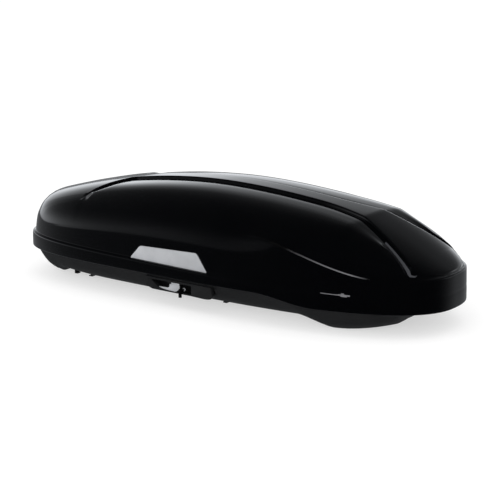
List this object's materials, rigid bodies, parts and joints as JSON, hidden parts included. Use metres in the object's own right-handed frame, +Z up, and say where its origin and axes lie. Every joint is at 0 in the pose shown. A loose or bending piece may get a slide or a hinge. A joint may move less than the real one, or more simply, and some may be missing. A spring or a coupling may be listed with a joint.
{
  "type": "roof cargo box",
  "caption": "Long low rooftop luggage box: glossy domed lid hinged to a shallow tray, side key lock with pull grip, and clamps under the floor for roof bars.",
  "frame": {"origin": "under the middle of the box, at the lowest point of the base", "axes": "+X to the nose, +Y to the hinge side, +Z up"},
  "size_m": [1.96, 0.778, 0.4676],
  "materials": {
    "base_plastic": "fine grained, dark grey, low sheen",
    "lid_gloss": "deep gloss black",
    "seal_rubber": "matt rubber",
    "rail_steel": "zinc plated",
    "black_plastic": "satin black moulding",
    "lock_black": "smooth black",
    "bright_steel": "bright plated",
    "dark_steel": "dark coated steel",
    "silver_plate": "silver paint, satin",
    "knob_plastic": "satin black"
  },
  "bodies": {
    "base": {"base_tray": "base_plastic", "seal_strip": "seal_rubber", "rail_near": "rail_steel", "rail_far": "rail_steel", "rail_rivets": "rail_steel", "handle_housing": "base_plastic", "handle_cup": "black_plastic", "lock_block": "lock_black", "grip_pin": "bright_steel", "grip_spring": "bright_steel", "shaft_bearings": "black_plastic", "hinge_base_leaves": "black_plastic", "hinge_pins": "bright_steel", "hinge_base_screws": "bright_steel", "stay_base_brackets": "dark_steel", "clamp_body_rear_near": "black_plastic", "clamp_body_rear_far": "black_plastic", "clamp_body_front_near": "black_plastic", "clamp_body_front_far": "black_plastic", "bar_pads": "seal_rubber"},
    "lid": {"lid_shell": "lid_gloss", "nameplate_near": "silver_plate", "nameplate_far": "silver_plate", "lid_arch_rear": "rail_steel", "lid_arch_front": "rail_steel", "striker_rail": "rail_steel", "striker_brackets": "dark_steel", "striker_pins": "bright_steel", "hinge_lid_leaves": "black_plastic", "hinge_lid_screws": "bright_steel", "stay_lid_brackets": "dark_steel"},
    "grip_lever": {"grip": "silver_plate"},
    "key": {"lock_cylinder": "silver_plate", "drive_disc": "bright_steel", "key_blade": "bright_steel", "key_head": "lock_black"},
    "shaft": {"lock_shaft": "dark_steel", "lock_hooks": "dark_steel", "shaft_fork": "dark_steel"},
    "tube_rear": {"stay_tube_rear": "dark_steel"},
    "rod_rear": {"stay_rod_rear": "bright_steel"},
    "knob_rear_near": {"knob_rear_near": "knob_plastic"},
    "claw_rear_near": {"claw_rear_near": "dark_steel"},
    "knob_rear_far": {"knob_rear_far": "knob_plastic"},
    "claw_rear_far": {"claw_rear_far": "dark_steel"},
    "tube_front": {"stay_tube_front": "dark_steel"},
    "rod_front": {"stay_rod_front": "bright_steel"},
    "knob_front_near": {"knob_front_near": "knob_plastic"},
    "claw_front_near": {"claw_front_near": "dark_steel"},
    "knob_front_far": {"knob_front_far": "knob_plastic"},
    "claw_front_far": {"claw_front_far": "dark_steel"}
  },
  "joints": [
    {"name": "lid_hinge", "type": "hinge", "parent": "base", "child": "lid", "pos_m": [0, 0.366, 0.088], "axis": [-1, 0, 0], "range_deg": [0, 45]},
    {"name": "key_turn", "type": "hinge", "parent": "base", "child": "key", "pos_m": [-0.024, -0.366, 0.08], "axis": [0, -1, 0], "range_deg": [0, 90]},
    {"name": "lock_shaft_turn", "type": "hinge", "parent": "base", "child": "shaft", "pos_m": [0, -0.29, 0.08], "axis": [-1, 0, 0], "range_deg": [0, 39]},
    {"name": "grip_pull", "type": "hinge", "parent": "base", "child": "grip_lever", "pos_m": [-0.06, -0.371, 0.101], "axis": [-1, 0, 0], "range_deg": [0, 35], "stiffness_Nm_per_rad": 0.1, "springref_deg": -17.19},
    {"name": "stay_tube_rear_swing", "type": "hinge", "parent": "base", "child": "tube_rear", "pos_m": [-0.3, 0.285, 0.054], "axis": [-1, 0, 0], "range_deg": [0, 36]},
    {"name": "stay_rod_rear_slide", "type": "slide", "parent": "tube_rear", "child": "rod_rear", "axis": [0, 0.0222, 0.9998], "range_m": [0, 0.056]},
    {"name": "knob_rear_near_turn", "type": "hinge", "parent": "base", "child": "knob_rear_near", "pos_m": [-0.68, -0.213, 0.07], "axis": [0, 0, 1], "range_deg": [0, 360]},
    {"name": "claw_rear_near_slide", "type": "slide", "parent": "base", "child": "claw_rear_near", "axis": [-1, 0, 0], "range_m": [0, 0.0202]},
    {"name": "knob_rear_far_turn", "type": "hinge", "parent": "base", "child": "knob_rear_far", "pos_m": [-0.68, 0.211, 0.07], "axis": [0, 0, 1], "range_deg": [0, 360]},
    {"name": "claw_rear_far_slide", "type": "slide", "parent": "base", "child": "claw_rear_far", "axis": [-1, 0, 0], "range_m": [0, 0.0202]},
    {"name": "stay_tube_front_swing", "type": "hinge", "parent": "base", "child": "tube_front", "pos_m": [0.13, 0.285, 0.054], "axis": [-1, 0, 0], "range_deg": [0, 36]},
    {"name": "stay_rod_front_slide", "type": "slide", "parent": "tube_front", "child": "rod_front", "axis": [0, 0.0222, 0.9998], "range_m": [0, 0.056]},
    {"name": "knob_front_near_turn", "type": "hinge", "parent": "base", "child": "knob_front_near", "pos_m": [0.03, -0.213, 0.07], "axis": [0, 0, 1], "range_deg": [0, 360]},
    {"name": "claw_front_near_slide", "type": "slide", "parent": "base", "child": "claw_front_near", "axis": [-1, 0, 0], "range_m": [0, 0.0202]},
    {"name": "knob_front_far_turn", "type": "hinge", "parent": "base", "child": "knob_front_far", "pos_m": [0.03, 0.211, 0.07], "axis": [0, 0, 1], "range_deg": [0, 360]},
    {"name": "claw_front_far_slide", "type": "slide", "parent": "base", "child": "claw_front_far", "axis": [-1, 0, 0], "range_m": [0, 0.0202]}
  ],
  "couplings": [
    {"joint": "lock_shaft_turn", "follows": "key_turn", "ratio": 0.43},
    {"joint": "stay_tube_rear_swing", "follows": "lid_hinge", "ratio": 0.762},
    {"joint": "stay_rod_rear_slide", "follows": "lid_hinge", "m_per_rad": 0.06761},
    {"joint": "claw_rear_near_slide", "follows": "knob_rear_near_turn", "m_per_rad": 0.0032},
    {"joint": "claw_rear_far_slide", "follows": "knob_rear_far_turn", "m_per_rad": 0.0032},
    {"joint": "stay_tube_front_swing", "follows": "lid_hinge", "ratio": 0.762},
    {"joint": "stay_rod_front_slide", "follows": "lid_hinge", "m_per_rad": 0.06761},
    {"joint": "claw_front_near_slide", "follows": "knob_front_near_turn", "m_per_rad": 0.0032},
    {"joint": "claw_front_far_slide", "follows": "knob_front_far_turn", "m_per_rad": 0.0032}
  ]
}
